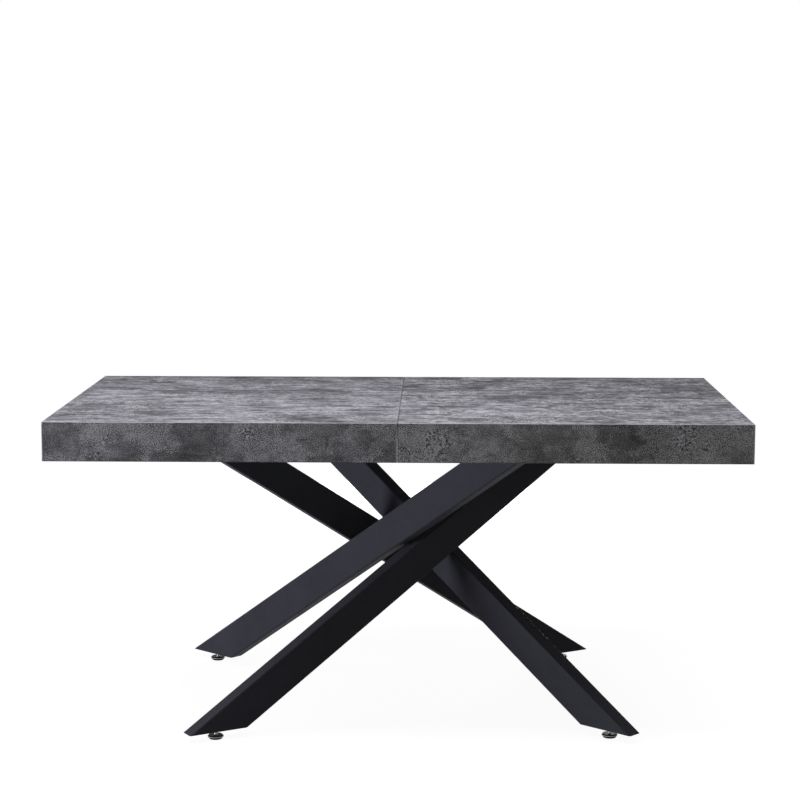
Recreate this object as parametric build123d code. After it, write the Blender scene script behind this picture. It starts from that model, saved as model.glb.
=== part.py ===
from build123d import *
import os
from math import cos, radians, sin, sqrt, tan

# Extendable dining table, drawn closed, in millimetres.
# The origin is on the floor under the middle of the top. +X runs right along the length, -Y to the front, +Z up.

# Top
table_height = 750.0
top_length = 1600.0
top_depth = 900.0
edge_height = 90.0
panel_thickness = 22.0
apron_thickness = 18.0
edge_break = 0.8
seam_gap = 0.6
half_travel = 200.0
corner_block_side = 40.0
corner_block_height = 55.0

# Dowels along the seam
dowel_diameter = 10.0
dowel_reach = 18.0
dowel_spacing = 250.0
dowel_count = 4
dowel_hole_spare = 2.0

# Legs, seen from above: a heading from +X in which the leg rises, and an offset from the middle
leg_a_heading = 31.4
leg_a_offset = 104.4
leg_c_heading = 137.9
leg_c_offset = 72.6
crossing_gap = 0.5
tube_height = 80.0
tube_width = 40.0
tube_wall = 2.0
tube_corner = 4.0
weld_radius = 9.0

# Feet
foot_cut = 20.0
foot_plate_thickness = 4.0
foot_nut_flats = 13.0
foot_nut_height = 8.0
stem_diameter = 8.0
stem_seat = 3.0
stem_above_nut = 6.0
pad_height = 9.5
pad_diameter = 37.5
pad_foot_diameter = 29.0
pad_crown_diameter = 32.0
rim_level = 5.0
rim_height = 1.6
rim_step = 0.8

# Leg heads and cross beams
head_margin = 38.4
head_plate_length = 150.0
head_plate_width = 140.0
head_plate_thickness = 6.0
head_bolt_spread = 90.0
bolt_diameter = 8.0
bolt_flats = 13.0
bolt_head_height = 5.3
bolt_nut_height = 6.5
bolt_tail = 1.5
beam_width = 50.0
beam_height = 20.0
beam_wall = 2.0
beam_overhang = 20.0

# Rails, fixed on the beams
rail_width = 40.0
rail_height = 30.0
rail_wall = 2.5
rail_slot = 16.0
rail_overhang = 40.0
rail_leaf_room = 22.0
rail_bolt_diameter = 6.0
rail_bolt_head_diameter = 11.0
rail_bolt_head_height = 3.0
rail_bolt_length = 10.0
stop_thickness = 5.0
stop_clearance = 0.5

# Runners, fixed under the half tops
runner_length = 470.0
runner_start = 5.0
flange_width = 36.0
flange_thickness = 4.0
web_width = 8.0
bar_width = 24.0
bar_height = 10.0
runner_headroom = 5.0
shoe_length = 40.0
shoe_inset = 6.0
shoe_relief_width = 16.0
shoe_relief_depth = 5.0

# Latches
latch_room = 30.0
latch_plate_length = 52.0
latch_plate_width = 36.0
latch_plate_thickness = 3.0
latch_plate_seam = 8.0
pivot_diameter = 8.0
pivot_from_seam = 32.0
pivot_collar_diameter = 14.0
pivot_collar_height = 4.0
pivot_head_height = 2.4
post_from_seam = 23.0
lever_thickness = 4.0
lever_width = 16.0
lever_eye_diameter = 24.0
knob_room = 4.0
hook_clearance = 0.5
hook_lead = 1.5
knob_diameter = 10.0
knob_height = 10.0

# Wood screws
screw_diameter = 4.0
screw_head_diameter = 7.5
screw_head_height = 2.2
screw_length = 16.0
screw_edge = 7.0
runner_screw_rows = 4
runner_screw_end = 25.0

# Spare leaf
leaf_pad_diameter = 30.0
leaf_pad_thickness = 3.0
leaf_pad_spacing = 300.0

# Fits
fixed_clearance = 0.05
turning_clearance = 0.05
sliding_clearance = 0.3
hole_clearance = 0.3

# Levels, from the top down
panel_bottom = table_height - panel_thickness
apron_bottom = table_height - edge_height
flange_bottom = panel_bottom - flange_thickness
rail_top = flange_bottom - runner_headroom
rail_bottom = rail_top - rail_height
beam_bottom = rail_bottom - beam_height
leg_top = beam_bottom - head_plate_thickness
rail_floor = rail_bottom + rail_wall
rail_lip = rail_top - rail_wall
bar_bottom = (rail_floor + rail_lip - bar_height) / 2
bar_top = bar_bottom + bar_height
latch_plate_bottom = panel_bottom - latch_plate_thickness
lever_top = latch_plate_bottom - pivot_collar_height - sliding_clearance
lever_bottom = lever_top - lever_thickness

# Places along and across the table
half_length = top_length / 2
half_depth = top_depth / 2
end_inner = half_length - apron_thickness
side_inner = half_depth - apron_thickness
seam_edge = seam_gap / 2
leaf_width = 2 * half_travel
rail_y = leaf_width / 2 + dowel_reach + rail_leaf_room + rail_width / 2
latch_y = rail_y + rail_width / 2 + latch_room
dowel_places = [(i - (dowel_count - 1) / 2) * dowel_spacing for i in range(dowel_count)]


# Shapes used all over

def block(x, y, z):
    """A box between pairs of limits."""
    middle = Pos(sum(x) / 2, sum(y) / 2, sum(z) / 2)
    return middle * Box(abs(x[1] - x[0]), abs(y[1] - y[0]), abs(z[1] - z[0]))


def slab(low, high):
    """Everything between two heights."""
    return block((-top_length, top_length), (-top_length, top_length), (low, high))


def rod(x, y, low, high, diameter):
    """An upright round bar."""
    return Pos(x, y, (low + high) / 2) * Cylinder(diameter / 2, high - low)


def cross_rod(start, y, z, length, diameter):
    """A round bar that lies along X."""
    return Pos(start + length / 2, y, z) * Rot(0, 90, 0) * Cylinder(diameter / 2, abs(length))


def hexagon(x, y, low, flats, height):
    """An upright hexagonal bar."""
    return Pos(x, y, low) * extrude(RegularPolygon(flats / 2, 6, major_radius=False), amount=height)


def outline_face(points):
    """A flat face inside a closed outline."""
    return make_face(Polyline(*points, close=True))


def on_side(side, shape):
    """A shape drawn for the right half, or its mirror image for the left half."""
    return shape if side == "right" else mirror(shape, about=Plane.YZ)


def on_end(end, shape):
    """A shape drawn for the front, or its mirror image for the back."""
    return shape if end == "front" else mirror(shape, about=Plane.XZ)


def group(shapes):
    """Separate solids kept together in one node."""
    return Compound(children=[shape.solid() for shape in shapes])


# Legs: the four lines rest on one another in a ring, b over a over c over d over b

def plan_line(heading, offset):
    """A leg's line from above: its point nearest the middle and the direction in which it rises."""
    turn = radians(heading)
    return Vector(offset * sin(turn), -offset * cos(turn)), Vector(cos(turn), sin(turn))


def half_turn(line):
    """The same line on the opposite side of the table."""
    point, direction = line
    return point * -1, direction * -1


def meeting(first, second):
    """How far along each of two plan lines they cross."""
    (p, d), (q, e) = first, second
    way = q - p
    cross = d.X * e.Y - d.Y * e.X
    return (way.X * e.Y - way.Y * e.X) / cross, (way.X * d.Y - way.Y * d.X) / cross


line_a = plan_line(leg_a_heading, leg_a_offset)
line_c = plan_line(leg_c_heading, leg_c_offset)
line_b = half_turn(line_c)
line_d = half_turn(line_a)

# How far along its line each leg meets the next, and how widely each pair of legs spreads
a_at_b, b_at_a = meeting(line_a, line_b)
a_at_c, c_at_a = meeting(line_a, line_c)
spread_ac = tan(radians(leg_c_heading - leg_a_heading) / 2)
spread_ab = 1 / spread_ac


def crossing_room(slope, spread):
    """The height from axis to axis at which one leg just clears another, at their nearest rounded corners."""
    stretch = sqrt(1 + slope ** 2)
    flat = slope * spread * (tube_width - 2 * tube_corner)
    rounded = 2 * tube_corner * (sqrt(stretch ** 2 + (slope * spread) ** 2) - stretch)
    return tube_height * stretch + flat + rounded + crossing_gap


def shared_slope():
    """The slope of all the legs that leaves the same gap at every crossing, found by halving an interval."""
    low, high = 0.05, 5.0
    for _ in range(60):
        slope = (low + high) / 2
        rise = slope * (b_at_a - a_at_b + a_at_c - c_at_a)
        if rise < crossing_room(slope, spread_ab) + crossing_room(slope, spread_ac):
            low = slope
        else:
            high = slope
    return slope


# The heads of legs b and c reach their plates a margin inside the front and back edges
leg_slope = shared_slope()
lift = crossing_room(leg_slope, spread_ab) - leg_slope * (b_at_a - a_at_b)
c_head_y = side_inner - head_margin - head_plate_width / 2
high_axis = leg_top - leg_slope * (c_head_y - line_c[0].Y) / line_c[1].Y
low_axis = high_axis - lift
leg_reach = table_height * sqrt(1 + leg_slope ** 2) / leg_slope
legs = {"a": (line_a, low_axis), "b": (line_b, high_axis), "c": (line_c, high_axis), "d": (line_d, low_axis)}


def axis_at(leg, height):
    """Where a leg's axis reaches a height, from above."""
    (point, direction), level = leg
    return point + direction * ((height - level) / leg_slope)


def leg_bar(leg, inset):
    """A bar with the tube's outline, drawn in by an inset, longer than the leg."""
    (point, direction), level = leg
    across = (direction.Y, -direction.X, 0)
    along = (direction.X, direction.Y, leg_slope)
    end = Plane(origin=(point.X, point.Y, level), x_dir=across, z_dir=along)
    corner = max(tube_corner - inset, 0.5)
    outline = RectangleRounded(tube_width - 2 * inset, tube_height - 2 * inset, corner)
    return extrude(end * outline, amount=leg_reach, both=True)


def leg_tube(leg):
    """A hollow leg, cut level at the foot and the head."""
    return (leg_bar(leg, 0) - leg_bar(leg, tube_wall)) & slab(foot_cut, leg_top)


def crossing_weld(lower, upper, spread):
    """A bead that joins two legs at the corner where one just clears the other."""
    (lower_point, lower_way), lower_level = lower
    (upper_point, upper_way), upper_level = upper
    lower_run, upper_run = meeting(lower[0], upper[0])
    closing = (lower_way - upper_way).normalized()
    steepness = leg_slope * spread / sqrt(1 + leg_slope ** 2)
    from_middle = tube_width / 2 - tube_corner + tube_corner * steepness / sqrt(1 + steepness ** 2)
    place = lower_point + lower_way * lower_run + closing * (from_middle * sqrt(1 + spread ** 2))
    lower_height = lower_level + leg_slope * lower_way.dot(place - lower_point)
    upper_height = upper_level + leg_slope * upper_way.dot(place - upper_point)
    ball = Pos(place.X, place.Y, (lower_height + upper_height) / 2) * Sphere(weld_radius)
    return ball - leg_bar(lower, 0) - leg_bar(upper, 0)


# Feet

foot_nut_bottom = foot_cut + foot_plate_thickness
foot_nut_top = foot_nut_bottom + foot_nut_height


def foot_plate(leg):
    """The plate that closes a foot, with a hole for the stem."""
    place = axis_at(leg, foot_cut)
    plate = leg_bar(leg, tube_wall + fixed_clearance) & slab(foot_cut, foot_nut_bottom)
    return plate - rod(place.X, place.Y, 0, foot_nut_top, stem_diameter + 2 * hole_clearance)


def foot_nut(leg):
    """The nut that a glide screws into."""
    place = axis_at(leg, foot_cut)
    nut = hexagon(place.X, place.Y, foot_nut_bottom, foot_nut_flats, foot_nut_height)
    return nut - rod(place.X, place.Y, foot_cut, leg_top, stem_diameter + 2 * turning_clearance)


def glide_stem(leg):
    """The stem of a levelling glide."""
    place = axis_at(leg, foot_cut)
    return rod(place.X, place.Y, stem_seat, foot_nut_top + stem_above_nut, stem_diameter)


def glide_pad(leg):
    """The round pad of a levelling glide, with a raised rim around its middle."""
    place = axis_at(leg, foot_cut)
    rim = pad_diameter / 2
    rim_top = rim_level + rim_height
    side = [(0, 0), (pad_foot_diameter / 2, 0), (rim - rim_step, rim_level), (rim, rim_level), (rim, rim_top),
            (rim - rim_step, rim_top), (pad_crown_diameter / 2, pad_height), (0, pad_height)]
    pad = Pos(place.X, place.Y, 0) * revolve(Plane.XZ * outline_face(side), axis=Axis.Z)
    return pad - rod(place.X, place.Y, stem_seat, 2 * pad_height, stem_diameter + 2 * fixed_clearance)


# Leg heads and cross beams

def head_bolt_places(leg):
    """The two bolts at a leg's head, either side of the tube."""
    head = axis_at(leg, leg_top)
    return [(head.X, head.Y + side * head_bolt_spread / 2) for side in (-1, 1)]


def head_plate(leg):
    """The plate welded on a leg's head."""
    head = axis_at(leg, leg_top)
    plate = Pos(head.X, head.Y, (leg_top + beam_bottom) / 2) * Box(
        head_plate_length, head_plate_width, head_plate_thickness)
    for x, y in head_bolt_places(leg):
        plate -= rod(x, y, leg_top - 1, beam_bottom + 1, bolt_diameter + 2 * hole_clearance)
    return plate


def head_bolt(x, y):
    """A bolt from under a head plate into its beam."""
    head = hexagon(x, y, leg_top - bolt_head_height, bolt_flats, bolt_head_height)
    return head + rod(x, y, leg_top, beam_bottom + beam_wall + bolt_nut_height + bolt_tail, bolt_diameter)


def beam_nut(x, y):
    """The nut of a head bolt, inside the beam."""
    low = beam_bottom + beam_wall
    return hexagon(x, y, low, bolt_flats, bolt_nut_height) - rod(
        x, y, low - 1, rail_bottom, bolt_diameter + 2 * fixed_clearance)


head_reach = max(abs(axis_at(leg, leg_top).Y) for leg in legs.values()) + head_bolt_spread / 2
beam_end = max(head_reach, rail_y + rail_width / 2) + beam_overhang
rail_end = max(abs(axis_at(leg, leg_top).X) for leg in legs.values()) + beam_width / 2 + rail_overhang
rail_bolt_bottom = rail_floor - rail_bolt_length


def beam(leg):
    """The hollow beam across the table over a leg's head."""
    x = axis_at(leg, leg_top).X
    half = beam_width / 2
    inner = half - beam_wall
    shell = block((x - half, x + half), (-beam_end, beam_end), (beam_bottom, rail_bottom))
    shell -= block((x - inner, x + inner), (-2 * beam_end, 2 * beam_end),
                   (beam_bottom + beam_wall, rail_bottom - beam_wall))
    for bolt_x, bolt_y in head_bolt_places(leg):
        shell -= rod(bolt_x, bolt_y, beam_bottom - 1, beam_bottom + beam_wall + 1, bolt_diameter + 2 * hole_clearance)
    for y in (-rail_y, rail_y):
        shell -= rod(x, y, rail_bottom - beam_wall - 1, rail_bottom + 1, rail_bolt_diameter + 2 * fixed_clearance)
    return shell


# Rails

beam_places = [axis_at(leg, leg_top).X for leg in legs.values()]


def rail(y):
    """A lipped channel along the table, open at the top and the ends."""
    half = rail_width / 2
    inner = half - rail_wall
    shell = block((-rail_end, rail_end), (y - half, y + half), (rail_bottom, rail_top))
    shell -= block((-2 * rail_end, 2 * rail_end), (y - inner, y + inner), (rail_floor, rail_lip))
    shell -= block((-2 * rail_end, 2 * rail_end), (y - rail_slot / 2, y + rail_slot / 2), (rail_floor, table_height))
    for x in beam_places:
        shell -= rod(x, y, rail_bottom - 1, rail_floor + 1, rail_bolt_diameter + 2 * fixed_clearance)
    return shell


def rail_bolt(x, y):
    """A bolt through a rail's floor into a beam."""
    head = rod(x, y, rail_floor, rail_floor + rail_bolt_head_height, rail_bolt_head_diameter)
    return head + rod(x, y, rail_bottom - rail_bolt_length, rail_floor, rail_bolt_diameter)


def rail_stop(y):
    """The plate on a rail's end that stops the shoes and lets the bar through."""
    half = rail_width / 2
    opening = bar_width / 2 + 1
    plate = block((rail_end, rail_end + stop_thickness), (y - half, y + half), (rail_bottom, rail_top))
    return plate - block((0, 2 * rail_end), (y - opening, y + opening), (bar_bottom - 1, table_height))


# Runners and shoes, drawn for the right half

runner_end = runner_start + runner_length
runner_screw_pitch = (runner_length - 2 * runner_screw_end) / (runner_screw_rows - 1)
runner_screw_side = (web_width + flange_width) / 4


def runner(y):
    """A flange under the panel, a web through the rail's slot and a bar inside the rail."""
    x = (runner_start, runner_end)
    flange = block(x, (y - flange_width / 2, y + flange_width / 2), (flange_bottom, panel_bottom))
    web = block(x, (y - web_width / 2, y + web_width / 2), (bar_bottom, flange_bottom))
    bar = block(x, (y - bar_width / 2, y + bar_width / 2), (bar_bottom, bar_top))
    shape = flange + web + bar
    for screw_x, screw_y in runner_screws(y):
        shape -= rod(screw_x, screw_y, flange_bottom - 1, panel_bottom + 1, screw_diameter + 2 * fixed_clearance)
    return shape


def runner_screws(y):
    """The screws along both sides of a runner's web."""
    rows = [runner_start + runner_screw_end + i * runner_screw_pitch for i in range(runner_screw_rows)]
    return [(x, y + side * runner_screw_side) for x in rows for side in (-1, 1)]


def shoe(start, y):
    """A nylon block on a runner's bar that slides in the rail, with a groove that clears the bolt heads."""
    side = rail_width / 2 - rail_wall - sliding_clearance
    low = rail_floor + sliding_clearance
    high = rail_lip - sliding_clearance
    pocket = bar_width / 2 + fixed_clearance
    neck = web_width / 2 + fixed_clearance
    x = (start, start + shoe_length)
    through = (start - 1, start + shoe_length + 1)
    shape = block(x, (y - side, y + side), (low, high))
    shape -= block(through, (y - pocket, y + pocket), (bar_bottom - fixed_clearance, bar_top + fixed_clearance))
    shape -= block(through, (y - neck, y + neck), (bar_top, high + 1))
    relief = shoe_relief_width / 2
    return shape - block(through, (y - relief, y + relief), (low - 1, low + shoe_relief_depth))


inner_shoe = runner_start + shoe_inset
outer_shoe = rail_end - stop_clearance - half_travel - shoe_length


# Half tops, drawn for the right half: the top and its deep edge meet in a mitre at the outer corner

mitre_share = edge_break / (apron_thickness + panel_thickness)


def edge_points(outer):
    """Points of an edge's section: top, corner, mitre's outer end, mitre's inner end."""
    top = (outer - edge_break, table_height)
    corner = (outer, table_height - edge_break)
    tip = (outer - apron_thickness * mitre_share, table_height - panel_thickness * mitre_share)
    inner = (outer - apron_thickness, panel_bottom)
    return top, corner, tip, inner


def along_length(points):
    """A section across the table, drawn out from the seam to the end."""
    return extrude(Plane.YZ.offset(seam_edge) * outline_face(points), amount=half_length - seam_edge)


def along_depth(points):
    """A section along the table, drawn out over the whole depth."""
    return extrude(Plane.XZ * outline_face(points), amount=half_depth, both=True)


def panel_blank():
    """A half top with its edges cut for the mitre."""
    top, _, tip, inner = edge_points(half_depth)
    right_edge = [top, tip, inner]
    left_edge = [(-y, z) for y, z in reversed(right_edge)]
    across = along_length(right_edge + left_edge)
    top, _, tip, inner = edge_points(half_length)
    return across & along_depth([(seam_edge, table_height), top, tip, inner, (seam_edge, panel_bottom)])


def apron_section(outer):
    """The section of the deep edge."""
    _, corner, tip, inner = edge_points(outer)
    return [(outer, apron_bottom), corner, tip, inner, (inner[0], apron_bottom)]


def from_above(points):
    """Everything over an outline seen from above."""
    return extrude(outline_face(points), amount=table_height)


def front_apron():
    """The deep edge along the front of a half top, mitred at the corner."""
    section = [(-y, z) for y, z in apron_section(half_depth)]
    return along_length(section) & from_above(
        [(seam_edge, -half_depth), (half_length, -half_depth), (end_inner, -side_inner), (seam_edge, -side_inner)])


def end_apron():
    """The deep edge across the end of a half top, mitred at both corners."""
    return along_depth(apron_section(half_length)) & from_above(
        [(half_length, -half_depth), (half_length, half_depth), (end_inner, side_inner), (end_inner, -side_inner)])


def corner_block():
    """A block glued into the front corner under a half top."""
    return block((end_inner - corner_block_side, end_inner), (-side_inner, -side_inner + corner_block_side),
                 (panel_bottom - corner_block_height, panel_bottom))


# Latches, drawn for the front: a lever on the left half that hooks on a post on the right half

latch_places = {"left": -(latch_plate_seam + latch_plate_length), "right": latch_plate_seam}
lever_reach = pivot_from_seam + post_from_seam


def latch_screws(side):
    """The four screws of a latch plate."""
    low = latch_places[side] + screw_edge
    high = low + latch_plate_length - 2 * screw_edge
    spread = latch_plate_width / 2 - screw_edge
    return [(x, -latch_y + y) for x in (low, high) for y in (-spread, spread)]


def latch_plate(side, stud_x):
    """A plate under a half top with a collared and headed stud that hangs from it."""
    low = latch_places[side]
    half = latch_plate_width / 2
    plate = block((low, low + latch_plate_length), (-latch_y - half, -latch_y + half), (latch_plate_bottom, panel_bottom))
    for x, y in latch_screws(side):
        plate -= rod(x, y, latch_plate_bottom - 1, panel_bottom + 1, screw_diameter + 2 * fixed_clearance)
    collar_bottom = latch_plate_bottom - pivot_collar_height
    head_top = lever_bottom - sliding_clearance
    plate += rod(stud_x, -latch_y, collar_bottom, latch_plate_bottom, pivot_collar_diameter)
    plate += rod(stud_x, -latch_y, head_top, collar_bottom, pivot_diameter)
    return plate + rod(stud_x, -latch_y, head_top - pivot_head_height, head_top, pivot_collar_diameter)


def latch_lever():
    """The lever, drawn locked along +X and turned back a quarter turn to its open place."""
    level = (lever_bottom + lever_top) / 2
    half = lever_width / 2
    tip = lever_reach + pivot_collar_diameter / 2 + knob_room + knob_diameter
    slot_half = pivot_diameter / 2 + hook_clearance
    lever = Pos(0, 0, level) * Cylinder(lever_eye_diameter / 2, lever_thickness)
    lever += block((0, tip), (-half, half), (lever_bottom, lever_top))
    lever += rod(tip - knob_diameter / 2, 0, lever_bottom - knob_height, lever_bottom, knob_diameter)
    lever -= rod(0, 0, lever_bottom - 1, lever_top + 1, pivot_diameter + 2 * turning_clearance)
    lever -= rod(lever_reach, 0, lever_bottom - 1, lever_top + 1, 2 * slot_half)
    lever -= block((lever_reach - slot_half - hook_lead, lever_reach + slot_half), (0, lever_width),
                   (lever_bottom - 1, lever_top + 1))
    return Pos(-pivot_from_seam, -latch_y, 0) * Rot(0, 0, -90) * lever


# Screws into the half tops

def wood_screw(x, y, seat):
    """A screw driven up from a seat into a half top."""
    head = rod(x, y, seat - screw_head_height, seat, screw_head_diameter)
    return head + rod(x, y, seat, seat + screw_length, screw_diameter)


def half_screws(side):
    """Every screw of one half: its place, drawn at its own side, and the level of its seat."""
    way = 1 if side == "right" else -1
    places = [(way * x, y, flange_bottom) for y0 in (-rail_y, rail_y) for x, y in runner_screws(y0)]
    for x, y in latch_screws(side):
        places += [(x, y, latch_plate_bottom), (x, -y, latch_plate_bottom)]
    return places


# Spare leaf, stowed lengthways on the beams

leaf_bottom = rail_bottom + leaf_pad_thickness
leaf_middle = leaf_bottom + panel_thickness / 2


def lying_dowel(x, start, length, diameter):
    """A round bar that lies along Y in the leaf's mid-plane."""
    return Pos(x, start + length / 2, leaf_middle) * Rot(90, 0, 0) * Cylinder(diameter / 2, length)


def leaf():
    """The leaf, with dowels fixed in one long edge and holes in the other."""
    half = leaf_width / 2
    shape = block((-half_depth, half_depth), (-half, half), (leaf_bottom, leaf_bottom + panel_thickness))
    for x in dowel_places:
        depth = dowel_reach + dowel_hole_spare
        shape -= lying_dowel(x, half - dowel_reach, 2 * dowel_reach, dowel_diameter + 2 * fixed_clearance)
        shape -= lying_dowel(x, -half - depth, 2 * depth, dowel_diameter + 2 * hole_clearance)
    return shape


# Nodes

nodes = {}
for name, leg in legs.items():
    nodes[f"leg_{name}"] = leg_tube(leg)
    nodes[f"head_plate_{name}"] = head_plate(leg)
    nodes[f"glide_stem_{name}"] = glide_stem(leg)
    nodes[f"glide_pad_{name}"] = glide_pad(leg)
nodes["foot_plates"] = group(foot_plate(leg) for leg in legs.values())
nodes["foot_nuts"] = group(foot_nut(leg) for leg in legs.values())

ring = [("a", "b", spread_ab), ("c", "a", spread_ac), ("d", "c", spread_ab), ("b", "d", spread_ac)]
nodes["crossing_welds"] = group(crossing_weld(legs[low], legs[high], spread) for low, high, spread in ring)

for name, leg in zip(("right_outer", "right_inner", "left_inner", "left_outer"), legs.values()):
    nodes[f"beam_{name}"] = beam(leg)
bolt_places = [place for leg in legs.values() for place in head_bolt_places(leg)]
nodes["head_bolts"] = group(head_bolt(x, y) for x, y in bolt_places)
nodes["beam_nuts"] = group(beam_nut(x, y) for x, y in bolt_places)

nodes["front_rail"] = rail(-rail_y)
nodes["back_rail"] = rail(rail_y)
nodes["rail_bolts"] = group(rail_bolt(x, y) for x in beam_places for y in (-rail_y, rail_y))
nodes["rail_stops"] = group(on_side(side, rail_stop(y)) for side in ("left", "right") for y in (-rail_y, rail_y))

for side in ("left", "right"):
    panel = on_side(side, panel_blank())
    for y in dowel_places:
        spare = dowel_hole_spare if side == "left" else 0
        clearance = hole_clearance if side == "left" else fixed_clearance
        depth = seam_edge + dowel_reach + spare
        start = -depth if side == "left" else 0
        panel -= cross_rod(start, y, table_height - panel_thickness / 2, depth, dowel_diameter + 2 * clearance)
    for x, y, seat in half_screws(side):
        panel -= rod(x, y, panel_bottom - 1, seat + screw_length, screw_diameter + 2 * fixed_clearance)
    nodes[f"{side}_panel"] = panel
    for end in ("front", "back"):
        nodes[f"{side}_{end}_apron"] = on_side(side, on_end(end, front_apron()))
        nodes[f"{side}_{end}_runner"] = on_side(side, on_end(end, runner(-rail_y)))
    nodes[f"{side}_end_apron"] = on_side(side, end_apron())
    nodes[f"{side}_corner_blocks"] = group(on_side(side, on_end(end, corner_block())) for end in ("front", "back"))
    nodes[f"{side}_shoes"] = group(
        on_side(side, shoe(x, y)) for x in (inner_shoe, outer_shoe) for y in (-rail_y, rail_y))
    nodes[f"{side}_screws"] = group(wood_screw(x, y, seat) for x, y, seat in half_screws(side))

dowel_length = 2 * dowel_reach + seam_edge
nodes["seam_dowels"] = group(
    cross_rod(-dowel_reach, y, table_height - panel_thickness / 2, dowel_length, dowel_diameter) for y in dowel_places)
for end in ("front", "back"):
    nodes[f"{end}_latch_base"] = on_end(end, latch_plate("left", -pivot_from_seam))
    nodes[f"{end}_keeper"] = on_end(end, latch_plate("right", post_from_seam))
    nodes[f"{end}_latch_lever"] = on_end(end, latch_lever())

nodes["extension_leaf"] = leaf()
nodes["leaf_dowels"] = group(
    lying_dowel(x, leaf_width / 2 - dowel_reach, 2 * dowel_reach, dowel_diameter) for x in dowel_places)
nodes["leaf_pads"] = group(
    rod(x, side * leaf_pad_spacing / 2, rail_bottom, leaf_bottom, leaf_pad_diameter)
    for x in beam_places for side in (-1, 1))

os.makedirs("parts", exist_ok=True)
for name, shape in nodes.items():
    shape.label = name
    export_step(shape, f"parts/{name}.step")
print(len(nodes), "nodes, legs rise", round(leg_slope, 4), "per unit run")
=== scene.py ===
import bpy
import math
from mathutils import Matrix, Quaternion, Vector, geometry


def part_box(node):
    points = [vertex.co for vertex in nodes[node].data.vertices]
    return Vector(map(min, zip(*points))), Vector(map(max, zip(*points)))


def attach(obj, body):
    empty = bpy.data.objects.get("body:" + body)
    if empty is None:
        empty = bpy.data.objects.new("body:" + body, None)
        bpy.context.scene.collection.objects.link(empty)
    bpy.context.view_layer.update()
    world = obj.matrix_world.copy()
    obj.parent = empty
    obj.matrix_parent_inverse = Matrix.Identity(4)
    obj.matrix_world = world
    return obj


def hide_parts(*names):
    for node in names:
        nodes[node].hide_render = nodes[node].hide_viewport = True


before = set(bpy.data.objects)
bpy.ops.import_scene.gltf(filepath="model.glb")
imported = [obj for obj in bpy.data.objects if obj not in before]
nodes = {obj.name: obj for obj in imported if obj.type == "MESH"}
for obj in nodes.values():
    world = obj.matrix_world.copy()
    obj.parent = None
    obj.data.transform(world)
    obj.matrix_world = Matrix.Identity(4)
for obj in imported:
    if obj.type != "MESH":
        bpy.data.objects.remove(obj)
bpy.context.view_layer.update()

LEGS = "abcd"
SIDES = ("left", "right")
ENDS = ("front", "back")

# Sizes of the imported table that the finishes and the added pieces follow, in metres
panel_low, panel_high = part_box("right_panel")
end_low, end_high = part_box("right_end_apron")
leaf_low, leaf_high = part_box("extension_leaf")
TABLE_TOP = panel_high[2]
PANEL_UNDERSIDE = panel_low[2]
SEAM = panel_low[0]
EDGE_BOTTOM = end_low[2]
HALF_LENGTH = end_high[0]
HALF_DEPTH = end_high[1]
APRON = end_high[0] - end_low[0]
LEAF_UNDERSIDE = leaf_low[2]
LEAF_TOP = leaf_high[2]
LEAF_HALF_LENGTH = leaf_high[0]
LEAF_HALF_WIDTH = leaf_high[1]
HEAD_PLATE_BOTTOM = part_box("head_plate_a")[0][2]
SKIN = 0.0001


# Finishes

# The range that noise mostly fills, and its middle
NOISE_LOW = 0.3
NOISE_HIGH = 0.7
NOISE_MIDDLE = 0.5

# Depth of each finish's relief, in metres, and how strongly its surface bends light
RELIEF = {"laminate": 0.00020, "coat": 0.00005, "metal": 0.00003, "plastic": 0.00004, "beech": 0.00005,
          "felt": 0.0004}
BENDING = {"laminate": 1.22, "coat": 1.12, "pad": 1.16}


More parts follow.
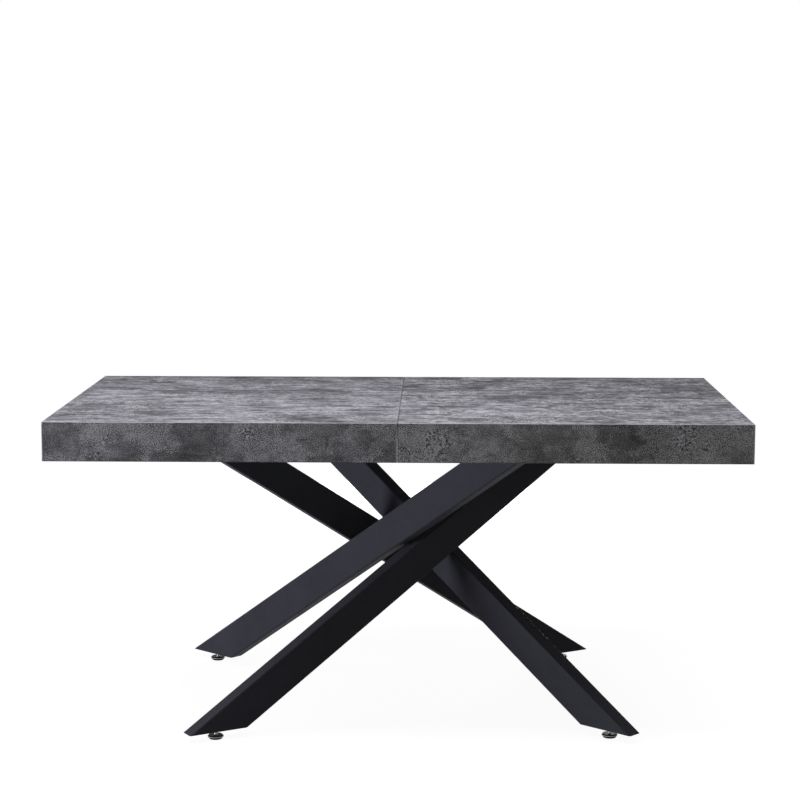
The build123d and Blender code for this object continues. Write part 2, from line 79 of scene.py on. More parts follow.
class Graph:
    """Builds the nodes of one finish, a call at a time."""

    def __init__(self, owner, output="OutputMaterial"):
        owner.use_nodes = True
        self.owner = owner
        self.tree = owner.node_tree
        self.tree.nodes.clear()
        self.output = self.node(output)

    def node(self, kind, inputs=None, **settings):
        """A node with its settings made and its inputs fed."""
        made = self.tree.nodes.new("ShaderNode" + kind)
        for key, value in settings.items():
            setattr(made, key, value)
        for key, value in (inputs or {}).items():
            self.feed(made.inputs[key], value)
        return made

    def feed(self, socket, value):
        """A link into a socket, or a plain value on it."""
        if isinstance(value, bpy.types.NodeSocket):
            self.tree.links.new(value, socket)
        else:
            socket.default_value = value

    def place(self, shift=(0, 0, 0), stretch=(1, 1, 1), turn=(0, 0, 0)):
        """The point on the piece, in metres of the table's frame, moved and stretched."""
        point = self.node("TexCoord").outputs["Object"]
        moved = {"Vector": point, "Location": shift, "Rotation": turn, "Scale": stretch}
        return self.node("Mapping", moved).outputs[0]

    def split(self, point):
        """The three parts of a point."""
        return self.node("SeparateXYZ", {0: point}).outputs

    def math(self, operation, a, b=0.0):
        """One sum on two numbers."""
        return self.node("Math", {0: a, 1: b}, operation=operation).outputs[0]

    def fold(self, operation, *values):
        """The same sum over several numbers."""
        result = values[0]
        for value in values[1:]:
            result = self.math(operation, result, value)
        return result

    def weigh(self, *parts):
        """Numbers added up, each with its weight."""
        return self.fold("ADD", *[self.math("MULTIPLY", value, weight) for value, weight in parts])

    def fit(self, value, low, high, to_low=0.0, to_high=1.0):
        """A number taken smoothly from one range to another and held inside it."""
        return self.node("MapRange", {0: value, 1: low, 2: high, 3: to_low, 4: to_high},
                         interpolation_type="SMOOTHSTEP").outputs[0]

    def blend(self, share, a, b, how="MIX"):
        """One colour over another."""
        made = self.node("Mix", {0: share}, data_type="RGBA", blend_type=how)
        for socket, colour in ((made.inputs[6], a), (made.inputs[7], b)):
            self.feed(socket, colour if isinstance(colour, bpy.types.NodeSocket) else (*colour, 1.0))
        return made.outputs[2]

    def ramp(self, value, stops):
        """A colour picked along a row of stops."""
        made = self.node("ValToRGB", {0: value})
        elements = made.color_ramp.elements
        while len(elements) < len(stops):
            elements.new(1.0)
        for element, (place, colour) in zip(elements, stops):
            element.position = place
            element.color = (*colour, 1.0)
        return made.outputs[0]

    def tones(self, value, dark, light):
        """A colour between a dark and a light one, for noise."""
        return self.ramp(value, [(NOISE_LOW, dark), (NOISE_HIGH, light)])

    def spread(self, value, to_low, to_high):
        """Noise taken to another range."""
        return self.fit(value, NOISE_LOW, NOISE_HIGH, to_low, to_high)

    def noise(self, point, scale=1.0, detail=4.0, rough=0.5, warp=0.0, output="Fac"):
        """Cloudy noise, so many grains to a metre."""
        return self.node("TexNoise", {"Vector": point, "Scale": scale, "Detail": detail, "Roughness": rough,
                                      "Distortion": warp}).outputs[output]

    def borders(self, point, scale):
        """How far a point is from the borders of a cell pattern, so many cells to a metre."""
        made = self.node("TexVoronoi", {"Vector": point, "Scale": scale}, feature="DISTANCE_TO_EDGE")
        return made.outputs["Distance"]

    def drift(self, point, scale, amount, detail=2.0):
        """A point pushed about by noise."""
        push = self.noise(point, scale, detail, output="Color")
        return self.node("VectorMath", {0: push, 1: (amount,) * 3, 2: point},
                         operation="MULTIPLY_ADD").outputs[0]

    def bump(self, height, depth):
        """Relief of a depth in metres."""
        return self.node("Bump", {"Height": height, "Distance": depth, "Strength": 1.0}).outputs[0]

    def show(self, shader):
        """A shader put on the output."""
        self.tree.links.new(shader, self.output.inputs[0])
        return self.owner

    def surface(self, colour, roughness, normal, **sockets):
        """The finish's shader, with any other sockets of it that the finish sets or feeds."""
        shader = self.node("BsdfPrincipled", {"Base Color": colour, "Roughness": roughness, "Normal": normal})
        for key, value in sockets.items():
            self.feed(shader.inputs[key.replace("_", " ")], value)
        return self.show(shader.outputs[0])


def new_finish(name):
    """A new material, as the graph that fills it."""
    return Graph(bpy.data.materials.new(name))


def grey(value):
    """A colour without a hue."""
    return (value, value, value)


CONCRETE = [(0.05, (0.045, 0.045, 0.046)), (0.30, (0.118, 0.118, 0.120)), (0.50, (0.220, 0.220, 0.224)),
            (0.70, (0.355, 0.355, 0.360)), (0.95, (0.620, 0.620, 0.627))]
TONE_REACH = 1.6
PIT = (0.010, 0.010, 0.011)
PIT_RIM = (0.54, 0.54, 0.545)
HAIRLINE = (0.026, 0.026, 0.027)
SMEAR = (0.42, 0.42, 0.43)
# Pale edges: partly wear, partly a painted highlight
WORN_EDGE_AND_HIGHLIGHT = (0.72, 0.72, 0.73)
# Painted shade along the aprons' bottom edge
LOWER_EDGE_SHADE = (0.030, 0.030, 0.030)
BACKING_DARK = (0.30, 0.298, 0.292)
BACKING_LIGHT = (0.35, 0.348, 0.342)
SOUND_GAP = 0.16
COARSE = (0.40, 1.0)
LOOSE = (0.10, 0.8)
STREAK_TURN = (0.0, 0.0, 0.06)
SMEAR_STRETCH = (9.0, 70.0, 70.0)
SMEAR_TURN = (0.02, 0.03, 0.05)
BAND_STRETCH = (200.0, 200.0, 40.0)

# Distances from an edge at which the pale wear and painted highlight, the seam's painted highlight and shade
# and the painted shade along the bottom edge begin and are full, in metres, how far they waver, and their
# strength
EDGE_WEAR_AND_HIGHLIGHT = (0.0024, 0.0008)
SEAM_HIGHLIGHT_AND_SHADE_REACH = (0.0040, 0.0012)
LOWER_EDGE_SHADE_REACH = (0.0026, 0.0008)
WAVER = (-0.0003, 0.0007)
EDGE_WEAR_AND_HIGHLIGHT_STRENGTH = 0.80
LOWER_EDGE_SHADE_STRENGTH = 0.55


def laminate(name, shift, tint, weights, courses, grain, seam_highlight_and_shade=None):
    """Dark concrete-look laminate: clouds, skins of cement, grit, crumbled pits, hairlines, worn edges with a
    painted highlight, painted light and shade at the seam, and painted shade along the bottom edge.

    The weights are those of clouds, patches, mottle, streaks, fine grain and grit. The leaf has no seam edge.
    """
    g = new_finish(name)
    x, y, z = g.split(g.place())
    place = g.place(shift)

    # Broad clouds, sharper skins of cement over them and streaks along the length
    clouds = g.noise(g.drift(place, 3.5, 0.09, 3.0), 4.6, detail=6.0, rough=0.60, warp=0.3)
    skin = g.noise(g.drift(place, 9.0, 0.06, 4.0), 9.0, detail=10.0, rough=0.66, warp=0.2)
    mottle = g.noise(g.drift(place, 30.0, 0.02, 3.0), 26.0, detail=8.0, rough=0.72, warp=0.2)
    along = g.drift(g.place(shift, courses, STREAK_TURN), 1.2, 0.9, 3.0)
    streak = g.fit(g.noise(along, detail=6.0, rough=0.66, warp=0.4), 0.38, 0.62)
    patch = g.fit(skin, 0.46, 0.54)

    # Grains that are coarse on the patches
    fine = g.noise(g.drift(g.place(shift, grain), 0.6, 0.7), detail=3.0, rough=0.62)
    grit = g.noise(place, 460.0, detail=2.0, rough=0.80)
    coarse = g.fit(patch, 0.0, 1.0, *COARSE)
    layers = [g.math("SUBTRACT", layer, NOISE_MIDDLE) for layer in (clouds, patch, mottle, streak)]
    layers += [g.math("MULTIPLY", g.math("SUBTRACT", layer, NOISE_MIDDLE), coarse) for layer in (fine, grit)]
    tone = g.weigh(*zip(layers, weights))
    colour = g.ramp(g.fit(tone, -TONE_REACH, TONE_REACH), CONCRETE)
    colour = g.blend(1.0, colour, tint, "MULTIPLY")

    # Crumbled pits with pale rims in a few places, and loose specks
    nest = g.noise(g.drift(place, 20.0, 0.03), 9.0, detail=5.0, rough=0.62)
    crumble = g.noise(g.drift(place, 90.0, 0.006), 185.0, rough=0.66)
    speck = g.noise(place, 390.0, detail=1.0)
    sound = g.fit(nest, 0.50, 0.64, 1.0, 0.0)
    loose = g.fit(sound, 1.0, 0.0, *LOOSE)
    spared = g.math("MULTIPLY", sound, SOUND_GAP)
    pit = g.math("MAXIMUM", g.fit(g.math("ADD", crumble, spared), 0.455, 0.405),
                 g.math("MULTIPLY", g.fit(speck, 0.34, 0.27), loose))
    rim = g.math("MAXIMUM", g.fit(g.math("SUBTRACT", crumble, spared), 0.540, 0.590),
                 g.math("MULTIPLY", g.fit(speck, 0.66, 0.73), loose))

    # Short hairlines, and faint pale smears along the length
    line = g.borders(g.drift(place, 26.0, 0.06, 5.0), 7.5)
    crack = g.math("MULTIPLY", g.fit(line, 0.014, 0.004), g.fit(g.noise(place, 13.0, detail=3.0), 0.55, 0.66))
    wiped = g.fit(g.noise(place, 5.0, detail=3.0, rough=0.6), 0.50, 0.38)
    smear = g.math("MULTIPLY", g.fit(g.noise(g.place(shift, SMEAR_STRETCH, SMEAR_TURN)), 0.58, 0.76), wiped)
    for mask, strength, shade in ((pit, 0.98, PIT), (rim, 0.80, PIT_RIM), (crack, 0.65, HAIRLINE),
                                  (smear, 0.22, SMEAR)):
        colour = g.blend(g.math("MULTIPLY", mask, strength), colour, shade)

    # Worn edges, pale with wear and a painted highlight: on the skin of a board, the distances from two of
    # its faces add up to that from their edge
    leaf = seam_highlight_and_shade is None
    half_x, half_y, top = ((LEAF_HALF_LENGTH, LEAF_HALF_WIDTH, LEAF_TOP) if leaf
                           else (HALF_LENGTH, HALF_DEPTH, TABLE_TOP))
    from_end = g.math("SUBTRACT", half_x, g.math("ABSOLUTE", x))
    from_side = g.math("SUBTRACT", half_y, g.math("ABSOLUTE", y))
    from_top = g.math("SUBTRACT", top, z)
    waver = g.spread(g.noise(place, 60.0, detail=3.0), *WAVER)
    edge = g.fold("MINIMUM", g.math("ADD", from_end, from_side), g.math("ADD", from_end, from_top),
                  g.math("ADD", from_side, from_top))
    # The pale worn edges carry a painted highlight too
    colour = g.blend(g.fit(g.math("ADD", waver, edge), *EDGE_WEAR_AND_HIGHLIGHT, 0.0, EDGE_WEAR_AND_HIGHLIGHT_STRENGTH), colour, WORN_EDGE_AND_HIGHLIGHT)

    # The seam edges, with a painted highlight on the left half and a painted shade line on the right, the
    # painted shade along the bottom edge, and the plain backing inside
    if leaf:
        from_band = from_side
        backing = g.fit(z, LEAF_UNDERSIDE + 2 * SKIN, LEAF_UNDERSIDE + SKIN)
    else:
        from_band = g.math("SUBTRACT", g.math("ABSOLUTE", x), SEAM)
        seam = g.math("MINIMUM", g.math("ADD", from_band, from_side), g.math("ADD", from_band, from_top))
        # Painted highlight along the left half's seam edge, painted shade line along the right half's
        seam_paint_strength, seam_painted_tone = seam_highlight_and_shade
        seam_painted = g.fit(g.math("ADD", waver, seam), *SEAM_HIGHLIGHT_AND_SHADE_REACH, 0.0, seam_paint_strength)
        colour = g.blend(seam_painted, colour, seam_painted_tone)
        # Painted shade along the aprons' bottom edge
        lower = g.math("SUBTRACT", z, EDGE_BOTTOM)
        colour = g.blend(g.fit(lower, *LOWER_EDGE_SHADE_REACH, 0.0, LOWER_EDGE_SHADE_STRENGTH), colour, LOWER_EDGE_SHADE)
        backing = g.fold("MULTIPLY", g.fit(z, PANEL_UNDERSIDE + 2 * SKIN, PANEL_UNDERSIDE + SKIN),
                         g.fit(from_end, APRON - 2 * SKIN, APRON - SKIN),
                         g.fit(from_side, APRON - 2 * SKIN, APRON - SKIN))
    band = g.tones(g.noise(g.place(stretch=BAND_STRETCH), detail=3.0), grey(0.060), grey(0.085))
    colour = g.blend(g.fit(from_band, 2 * SKIN, SKIN), colour, band)
    colour = g.blend(backing, colour, g.tones(g.noise(place, 220.0), BACKING_DARK, BACKING_LIGHT))

    roughness = g.fit(g.weigh((skin, 0.6), (mottle, 0.4)), 0.40, 0.60, 0.86, 0.66)
    height = g.weigh((grit, 0.4), (fine, 0.6), (pit, -1.2), (crack, -0.8))
    return g.surface(colour, roughness, g.bump(height, RELIEF["laminate"]), IOR=BENDING["laminate"])


def powder_coat(name):
    """Black satin powder coat with a fine orange peel."""
    g = new_finish(name)
    place = g.place()
    dust = g.noise(place, 11.0, rough=0.6)
    peel = g.noise(place, 800.0, detail=2.0, rough=0.45)
    fleck = g.noise(place, 1500.0, detail=1.0)
    colour = g.tones(dust, (0.0365, 0.0370, 0.0440), (0.0485, 0.0492, 0.0585))
    colour = g.blend(1.0, colour, g.tones(fleck, grey(0.8), grey(1.2)), "MULTIPLY")
    roughness = g.fit(g.weigh((dust, 0.5), (peel, 0.5)), 0.35, 0.65, 0.50, 0.64)
    return g.surface(colour, roughness, g.bump(peel, RELIEF["coat"]), IOR=BENDING["coat"])


def brushed(name, dark, light, stretch, smooth, dull):
    """Bare metal with fine lines along one direction and dull patches."""
    g = new_finish(name)
    lines = g.noise(g.place(stretch=stretch), detail=3.0, rough=0.6)
    patches = g.noise(g.place(), 45.0, rough=0.6)
    colour = g.tones(g.weigh((lines, 0.6), (patches, 0.4)), dark, light)
    roughness = g.fit(g.weigh((lines, 0.4), (patches, 0.6)), 0.35, 0.65, smooth, dull)
    return g.surface(colour, roughness, g.bump(lines, RELIEF["metal"]), Metallic=1.0)


def moulded(name, dark, light, smooth, dull):
    """Moulded plastic with a fine grain."""
    g = new_finish(name)
    place = g.place()
    grain = g.noise(place, 900.0, detail=2.0)
    colour = g.tones(g.noise(place, 30.0, detail=3.0), dark, light)
    return g.surface(colour, g.spread(grain, smooth, dull), g.bump(grain, RELIEF["plastic"]))


RIM_LOW = 0.0057
RIM_HIGH = 0.0066
RIM_FADE_OUT = 0.0002
RIM_FADE_IN = 0.0001
RIM_POLISH = 0.18


def glide_pad(name):
    """Black glide pad with a bright metal rim around its middle."""
    g = new_finish(name)
    place = g.place()
    z = g.split(place)[2]
    grain = g.noise(place, 900.0, detail=2.0)
    flow = g.noise(place, 80.0, detail=3.0)
    rim = g.math("MULTIPLY", g.fit(z, RIM_LOW - RIM_FADE_OUT, RIM_LOW + RIM_FADE_IN),
                 g.fit(z, RIM_HIGH + RIM_FADE_OUT, RIM_HIGH - RIM_FADE_IN))
    body = g.tones(flow, (0.007, 0.007, 0.0075), (0.012, 0.012, 0.0125))
    bright = g.tones(flow, (0.27, 0.27, 0.275), (0.36, 0.36, 0.365))
    roughness = g.math("SUBTRACT", g.spread(grain, 0.44, 0.60), g.math("MULTIPLY", rim, RIM_POLISH))
    return g.surface(g.blend(rim, body, bright), roughness, g.bump(grain, RELIEF["plastic"]),
                     Metallic=rim, IOR=BENDING["pad"])


BEECH = [(0.3, (0.46, 0.29, 0.16)), (0.5, (0.60, 0.42, 0.25)), (0.7, (0.70, 0.52, 0.34))]
BEECH_FLECK = (0.30, 0.17, 0.09)
BEECH_RINGS = (18.0, 90.0, 130.0)
BEECH_FLECKS = (160.0, 900.0, 900.0)


def beech(name):
    """Planed beech with its grain along X and small dark flecks."""
    g = new_finish(name)
    rings = g.noise(g.place(stretch=BEECH_RINGS), detail=5.0, rough=0.55, warp=0.8)
    fleck = g.noise(g.place(stretch=BEECH_FLECKS), detail=2.0)
    colour = g.blend(g.fit(fleck, 0.64, 0.72, 0.0, 0.5), g.ramp(rings, BEECH), BEECH_FLECK)
    return g.surface(colour, g.spread(rings, 0.50, 0.66), g.bump(fleck, RELIEF["beech"]))


def felt(name):
    """Pressed grey felt with loose fibres."""
    g = new_finish(name)
    fibres = g.noise(g.drift(g.place(), 300.0, 0.004), 1400.0, detail=3.0, rough=0.7)
    colour = g.tones(fibres, (0.05, 0.05, 0.055), (0.19, 0.19, 0.20))
    return g.surface(colour, g.spread(fibres, 0.85, 1.0), g.bump(fibres, RELIEF["felt"]), Sheen_Weight=0.3)


def dress(finished, *names):
    """One finish on several CAD nodes."""
    for name in names:
        slots = nodes[name].data.materials
        slots.clear()
        slots.append(finished)


# Weights of the laminate's layers, and how its streaks and its fine grain are stretched
TOP_WEIGHTS = {"left": (1.9, 0.25, 2.5, 0.70, 3.4, 7.0), "right": (1.6, 0.25, 2.5, 0.84, 4.8, 7.0)}
EDGE_WEIGHTS = {"left": (1.9, 0.34, 1.9, 0.25, 1.6, 15.0), "right": (2.6, 0.40, 1.9, 0.25, 1.6, 16.5)}
TOP_GRAINS = ((8.0, 46.0, 46.0), (70.0, 85.0, 85.0))
LEAF_GRAINS = ((46.0, 8.0, 46.0), (85.0, 70.0, 85.0))
EDGE_GRAINS = ((15.0, 52.0, 52.0), (95.0, 95.0, 95.0))

# Where in the pattern each board is cut from, and its tint
TOP_SHIFTS = {"left": (0.0, 0.0, 0.0), "right": (3.7, 1.9, 0.6)}
EDGE_SHIFTS = {"left": (0.4, 1.1, 0.3), "right": (6.6, 0.7, 2.6)}
LEAF_SHIFT = (-5.1, 2.3, 1.4)
TOP_TINTS = {"left": (0.96, 0.945, 1.04), "right": (0.91, 0.895, 0.978)}
# The aprons' tints are darker than the tops': painted shade on their side faces
SHADED_EDGE_TINTS = {"left": (0.785, 0.77, 0.765), "right": (0.785, 0.775, 0.745)}
LEAF_TINT = (0.95, 0.93, 1.03)

# How strongly each half's seam edge is painted, and to which colour: a painted highlight on the left half, a
# painted shade line on the right
SEAM_HIGHLIGHT_AND_SHADE = {"left": (0.40, (0.42, 0.41, 0.40)), "right": (0.50, (0.035, 0.035, 0.036))}

coat = powder_coat("black_powder_coat")
zinc = brushed("bright_zinc", (0.52, 0.53, 0.55), (0.74, 0.75, 0.76), (300.0, 300.0, 60.0), 0.24, 0.42)
rail_metal = brushed("mill_aluminium", (0.60, 0.61, 0.63), (0.80, 0.81, 0.82), (6.0, 700.0, 700.0),
                     0.30, 0.46)
nylon = moulded("natural_nylon", (0.70, 0.69, 0.65), (0.82, 0.81, 0.77), 0.40, 0.55)
pad_finish = glide_pad("glide_plastic")
wood = beech("planed_beech")

for side in SIDES:
    top_decor = laminate(f"laminate_{side}", TOP_SHIFTS[side], TOP_TINTS[side], TOP_WEIGHTS[side],
                         *TOP_GRAINS, SEAM_HIGHLIGHT_AND_SHADE[side])
    # The aprons take a darker copy of the top's laminate, as painted shade
    shaded_edge_decor = laminate(f"laminate_{side}_edge", EDGE_SHIFTS[side], SHADED_EDGE_TINTS[side], EDGE_WEIGHTS[side],
                          *EDGE_GRAINS, SEAM_HIGHLIGHT_AND_SHADE[side])
    dress(top_decor, f"{side}_panel")
    dress(shaded_edge_decor, f"{side}_end_apron", *[f"{side}_{end}_apron" for end in ENDS])
    dress(rail_metal, *[f"{side}_{end}_runner" for end in ENDS])
    dress(nylon, f"{side}_shoes")
    dress(wood, f"{side}_corner_blocks")
    dress(zinc, f"{side}_screws")
    dress(coat, f"beam_{side}_outer", f"beam_{side}_inner")
for end in ENDS:
    dress(zinc, f"{end}_latch_base", f"{end}_latch_lever", f"{end}_keeper")
    dress(rail_metal, f"{end}_rail")
for leg in LEGS:
    dress(coat, f"leg_{leg}", f"head_plate_{leg}")
    dress(zinc, f"glide_stem_{leg}")
    dress(pad_finish, f"glide_pad_{leg}")
dress(coat, "crossing_welds", "foot_plates")
dress(zinc, "foot_nuts", "head_bolts", "beam_nuts", "rail_bolts", "rail_stops")
dress(wood, "seam_dowels", "leaf_dowels")
dress(laminate("laminate_leaf", LEAF_SHIFT, LEAF_TINT, TOP_WEIGHTS["left"], *LEAF_GRAINS), "extension_leaf")
dress(felt("grey_felt"), "leaf_pads")


# Pieces that are finer than their CAD solids

ROUND = 24
THREAD_PITCH = 0.00125
THREAD_DEPTH = 0.00065
THREAD_ROWS = 8
BEAD_RADIUS = 0.0026
BEAD_RIPPLE = 0.16
BEAD_WAVE = 0.0042
BEAD_STEP = 0.0010
BEAD_SIDES = 8
SAME_DIGITS = 6

# A wood screw: shank and recess as shares of the head's radius, tip and point as shares of the shank's,
# and the head's rows as shares of its height and radius. The depth of the recess is in metres.
SHANK = 0.5
SCREW_TIP = 0.15
SCREW_POINT = 2.0
HEAD_ROWS = ((0.0, 1.0), (0.35, 1.0), (0.70, 0.92), (0.92, 0.78), (1.0, 0.62))
HEAD_NEAR = 0.1
RECESS_ARM = 0.48
RECESS_HALF_WIDTH = 0.12
RECESS_TAPER = 0.65
RECESS_DEPTH = 0.0013
QUARTERS = 4
ARM_POINTS = 3


class Shape:
    """Gathers the points and faces of a mesh."""

    def __init__(self):
        self.points, self.faces = [], []

    def ring(self, points):
        """A row of new points, as their numbers."""
        self.points.extend(points)
        return list(range(len(self.points) - len(points), len(self.points)))

    def skin(self, first, second):
        """Faces between two closed rows of the same length."""
        for k, point in enumerate(first):
            after = (k + 1) % len(first)
            self.faces.append((point, first[after], second[after], second[k]))

    def turned(self, *points):
        """One face that looks down, from points seen from above against the clock."""
        self.faces.append(tuple(reversed(points)))

    def piece(self, name, finished, body, slot, *replaced):
        """The mesh as a piece that rides on a body, in the place of some CAD nodes."""
        mesh = bpy.data.meshes.new(name)
        mesh.from_pydata(self.points, [], self.faces)
        mesh.materials.append(finished)
        made = bpy.data.objects.new(name, mesh)
        bpy.context.scene.collection.objects.link(made)
        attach(made, body)
        if replaced:
            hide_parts(*replaced)


def upright(low, high):
    """The axis and the radius of an upright round solid, from its box."""
    return (low[0] + high[0]) / 2, (low[1] + high[1]) / 2, (high[0] - low[0]) / 2


def circle(x, y, z, radius):
    """Points around an upright axis, seen from above against the clock."""
    turns = [math.tau * k / ROUND for k in range(ROUND)]
    return [(x + radius * math.cos(turn), y + radius * math.sin(turn), z) for turn in turns]


def threaded_stem(leg):
    """A glide's stem with its thread cut, chamfered at both ends."""
    low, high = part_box(f"glide_stem_{leg}")
    x, y, radius = upright(low, high)
    rows = round((high[2] - low[2]) / THREAD_PITCH * THREAD_ROWS)
    shape = Shape()
    last = None
    for row in range(rows + 1):
        z = low[2] + (high[2] - low[2]) * row / rows
        limit = radius - THREAD_DEPTH + min(z - low[2], high[2] - z)
        points = []
        for k in range(ROUND):
            turn = math.tau * k / ROUND
            ridge = abs(2.0 * ((z / THREAD_PITCH - k / ROUND) % 1.0) - 1.0)
            reach = min(radius - THREAD_DEPTH * (1.0 - ridge), limit)
            points.append((x + reach * math.cos(turn), y + reach * math.sin(turn), z))
        ring = shape.ring(points)
        if last is None:
            shape.turned(*ring)
        else:
            shape.skin(last, ring)
        last = ring
    shape.faces.append(tuple(last))
    shape.piece(f"threaded_stem_{leg}", zinc, f"glide_{leg}", "zinc_steel", f"glide_stem_{leg}")


def islands(mesh):
    """The boxes of the separate solids in a node's mesh."""
    parent = list(range(len(mesh.vertices)))

    def root(k):
        while parent[k] != k:
            parent[k] = parent[parent[k]]
            k = parent[k]
        return k

    same = {}
    for vertex in mesh.vertices:
        key = tuple(round(part, SAME_DIGITS) for part in vertex.co)
        parent[root(vertex.index)] = root(same.setdefault(key, vertex.index))
    for edge in mesh.edges:
        parent[root(edge.vertices[0])] = root(edge.vertices[1])
    found = {}
    for vertex in mesh.vertices:
        found.setdefault(root(vertex.index), []).append(vertex.co)
    return sorted([[pick(part) for part in zip(*points)] for pick in (min, max)] for points in found.values())


def head_seat(mesh, low, high):
    """The height at which the head of an upright screw ends, from the points at its full radius."""
    x, y, radius = upright(low, high)
    out = [(math.hypot(vertex.co[0] - x, vertex.co[1] - y), vertex.co[2]) for vertex in mesh.vertices]
    return max(z for reach, z in out if abs(reach - radius) < HEAD_NEAR * radius)


def cross(x, y, z, arm, half):
    """The outline of a cross, three points to an arm: its two ends and the inner corner after them."""
    points = []
    corners = ((arm, -half), (arm, half), (half, half))
    for quarter in range(QUARTERS):
        angle = quarter * math.tau / QUARTERS
        c, s = math.cos(angle), math.sin(angle)
        points += [(x + a * c - b * s, y + a * s + b * c, z) for a, b in corners]
    return points


def pan_screw(shape, low, high, seat):
    """A pan-head screw driven upwards, with a cross recess in its head."""
    x, y, radius = upright(low, high)
    tall = seat - low[2]
    shank = SHANK * radius
    tip = shape.ring(circle(x, y, high[2], SCREW_TIP * shank))
    heights = [(high[2] - SCREW_POINT * shank, shank), (seat, shank)]
    heights += [(seat - down * tall, out * radius) for down, out in HEAD_ROWS]
    rows = [tip] + [shape.ring(circle(x, y, z, reach)) for z, reach in heights]
    shape.faces.append(tuple(tip))
    for upper, lower in zip(rows, rows[1:]):
        shape.skin(lower, upper)

    # The recess: the flat around its mouth, its sides and its floor, a quarter at a time
    rim = rows[-1]
    arm, half = RECESS_ARM * radius, RECESS_HALF_WIDTH * radius
    mouth = shape.ring(cross(x, y, low[2], arm, half))
    deep = shape.ring(cross(x, y, low[2] + RECESS_DEPTH, RECESS_TAPER * arm, half))
    step = ROUND // QUARTERS
    for quarter in range(QUARTERS):
        at = [rim[(quarter * step + k) % ROUND] for k in range(-1, step)]
        start = ARM_POINTS * quarter
        first, second, corner = mouth[start:start + ARM_POINTS]
        following = mouth[(start + ARM_POINTS) % len(mouth)]
        shape.turned(first, at[0], at[1], at[2], second)
        shape.turned(second, at[2], at[3], at[4], corner)
        shape.turned(corner, at[4], at[5], at[6], following)
        shape.turned(deep[start - 1], *deep[start:start + ARM_POINTS])
    shape.skin(deep, mouth)
    shape.turned(*deep[ARM_POINTS - 1::ARM_POINTS])


def half_screws(side):
    """Every screw of a half top, in the places of the CAD's."""
    shape = Shape()
    mesh = nodes[f"{side}_screws"].data
    for low, high in islands(mesh):
        pan_screw(shape, low, high, head_seat(mesh, low, high))
    shape.piece(f"{side}_pan_screws", zinc, f"{side}_half", "zinc_steel", f"{side}_screws")


def weld_bead(leg):
    """A rippled bead where a leg's tube meets its head plate."""
    top = [vertex.co.to_2d() for vertex in nodes[f"leg_{leg}"].data.vertices
           if abs(vertex.co[2] - HEAD_PLATE_BOTTOM) < SKIN]
    loop = [top[k] for k in geometry.convex_hull_2d(top)]
    middle = sum(loop, Vector((0, 0))) / len(loop)
    if sum(a[0] * b[1] - a[1] * b[0] for a, b in zip(loop, loop[1:] + loop[:1])) < 0:
        loop.reverse()
    sides = [(a, b) for a, b in zip(loop, loop[1:] + loop[:1]) if (b - a).length > SKIN]
    length = sum((b - a).length for a, b in sides)
    waves = round(length / BEAD_WAVE)
    count = round(length / BEAD_STEP)
    turns = [math.tau * k / BEAD_SIDES for k in range(BEAD_SIDES)]
    shape = Shape()
    rings = []
    for station in range(count):
        left = length * station / count
        for a, b in sides:
            run = (b - a).length
            if left <= run:
                break
            left -= run
        centre = a.lerp(b, left / run)
        out = (centre - middle).normalized()
        reach = BEAD_RADIUS * (1.0 + BEAD_RIPPLE * math.sin(math.tau * waves * station / count))
        rings.append(shape.ring([(*(centre + reach * math.cos(turn) * out),
                                  HEAD_PLATE_BOTTOM + reach * math.sin(turn)) for turn in turns]))
    for first, second in zip(rings, rings[1:] + rings[:1]):
        shape.skin(second, first)
    shape.piece(f"head_weld_{leg}", coat, "base", "coated_steel")


for leg in LEGS:
    threaded_stem(leg)
    weld_bead(leg)
for side in SIDES:
    half_screws(side)


# Floor, background and light

FLOOR_SIZE = 12.0
FLOOR_GLOW = 0.92
FLOOR_DARK = 0.31
FLOOR_LIGHT = 0.33
FLOOR_NEAR = 1.6
FLOOR_FAR = 3.2
SKY_FOR_LIGHT = 0.06
WHITE = (1.0, 1.0, 1.0)

# Each lamp's name, place, the point it is aimed at, size, watts and colour
LAMPS = (
    ("overhead", (-0.45, -0.32, 1.75), (-0.45, -0.32, 0.0), (3.4, 0.9), 25.0, (1.0, 0.99, 1.0)),
    ("left_softbox", (-3.2, -1.2, 0.15), (0.3, 0.0, 0.55), (1.2, 0.5), 90.0, (0.88, 0.875, 1.0)),
    ("front_strip", (-1.3, -2.3, 0.30), (0.0, -0.1, 0.45), (1.6, 0.5), 5.2, (0.92, 0.93, 1.0)),
    ("right_fill", (2.7, -1.2, 0.7), (0.0, -0.1, 0.4), (1.6, 1.5), 5.0, WHITE),
    ("back_fill", (0.4, 3.2, 0.42), (0.0, 0.0, 0.42), (2.2, 0.55), 48.0, WHITE),
)


def bright_rays(g):
    """1 for rays that see the background itself, straight or in a gloss, 0 for rays that only light."""
    path = g.node("LightPath").outputs
    return g.fold("MAXIMUM", path["Is Camera Ray"], path["Is Glossy Ray"], path["Is Transmission Ray"])


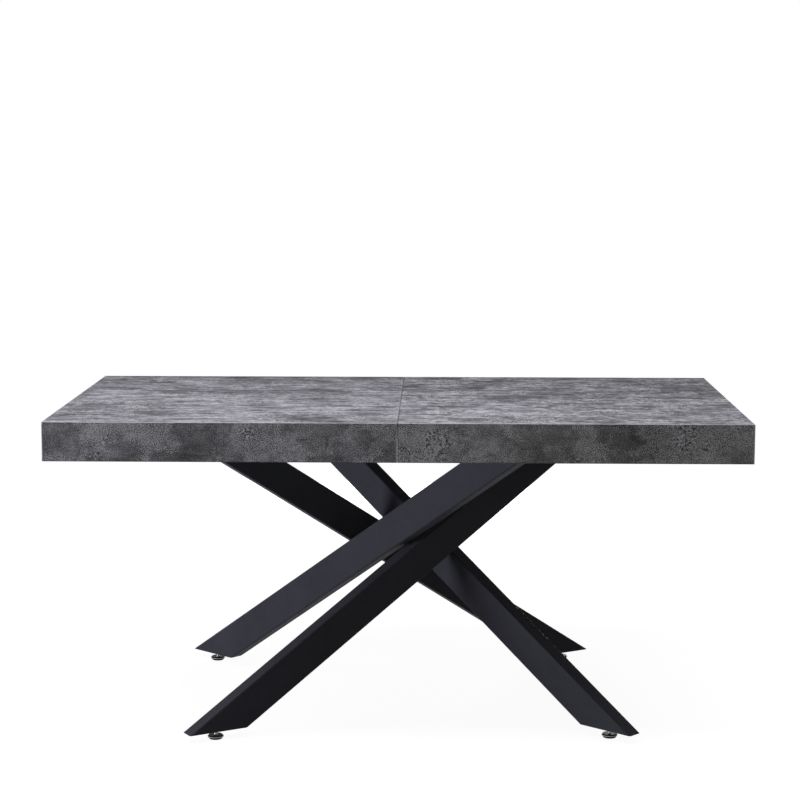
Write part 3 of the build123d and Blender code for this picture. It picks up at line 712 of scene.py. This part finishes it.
def floor():
    """A pale floor that fades into the white background and shows nothing from below."""
    g = new_finish("pale_floor")
    place = g.place()
    x, y, _ = g.split(place)
    away = g.math("SQRT", g.math("ADD", g.math("MULTIPLY", x, x), g.math("MULTIPLY", y, y)))
    glow = g.math("MULTIPLY", g.fit(away, FLOOR_NEAR, FLOOR_FAR, FLOOR_GLOW, 1.0), bright_rays(g))
    white = g.node("Emission", {"Color": (*WHITE, 1.0), "Strength": glow}).outputs[0]
    speckled = g.tones(g.noise(place, 40.0, detail=3.0), grey(FLOOR_DARK), grey(FLOOR_LIGHT))
    matte = g.node("BsdfDiffuse", {"Color": speckled}).outputs[0]
    top = g.node("AddShader", {0: white, 1: matte}).outputs[0]
    clear = g.node("BsdfTransparent").outputs[0]
    behind = g.node("NewGeometry").outputs["Backfacing"]
    g.show(g.node("MixShader", {0: behind, 1: top, 2: clear}).outputs[0])
    corners = [(FLOOR_SIZE * x, FLOOR_SIZE * y, 0.0) for x, y in ((-1, -1), (1, -1), (1, 1), (-1, 1))]
    mesh = bpy.data.meshes.new("floor")
    mesh.from_pydata(corners, [], [(0, 1, 2, 3)])
    mesh.materials.append(g.owner)
    made = bpy.data.objects.new("floor", mesh)
    bpy.context.scene.collection.objects.link(made)


def sky():
    """A white background that lights things only weakly."""
    world = bpy.data.worlds.new("studio")
    bpy.context.scene.world = world
    g = Graph(world, "OutputWorld")
    strength = g.fit(bright_rays(g), 0.0, 1.0, SKY_FOR_LIGHT, 1.0)
    g.show(g.node("Background", {"Color": (*WHITE, 1.0), "Strength": strength}).outputs[0])


def lamp(name, place, target, size, watts, colour):
    """A soft square lamp aimed at a point."""
    data = bpy.data.lights.new(name, "AREA")
    data.shape = "RECTANGLE"
    data.size, data.size_y = size
    data.energy = watts
    data.color = colour
    made = bpy.data.objects.new(name, data)
    made.location = place
    made.rotation_mode = "QUATERNION"
    made.rotation_quaternion = (Vector(target) - Vector(place)).to_track_quat("-Z", "Y")
    bpy.context.scene.collection.objects.link(made)


floor()
sky()
for settings in LAMPS:
    lamp(*settings)


# Camera, at the photograph's angle, with its turns in degrees

SENSOR = 36.0
LENS = 92.66
CAMERA_PLACE = (0.0899, -5.0152, 1.3854)
YAW = 1.0493
PITCH = 7.2772
ROLL = 0.0847

camera_data = bpy.data.cameras.new("camera")
camera_data.sensor_width = SENSOR
camera_data.lens = LENS
camera = bpy.data.objects.new("camera", camera_data)
camera.location = CAMERA_PLACE
camera.rotation_mode = "QUATERNION"
camera.rotation_quaternion = (Quaternion((0, 0, 1), math.radians(YAW))
                              @ Quaternion((1, 0, 0), math.radians(90.0 - PITCH))
                              @ Quaternion((0, 0, 1), math.radians(ROLL)))
bpy.context.scene.collection.objects.link(camera)
bpy.context.scene.camera = camera
bpy.context.scene.view_settings.view_transform = "Standard"
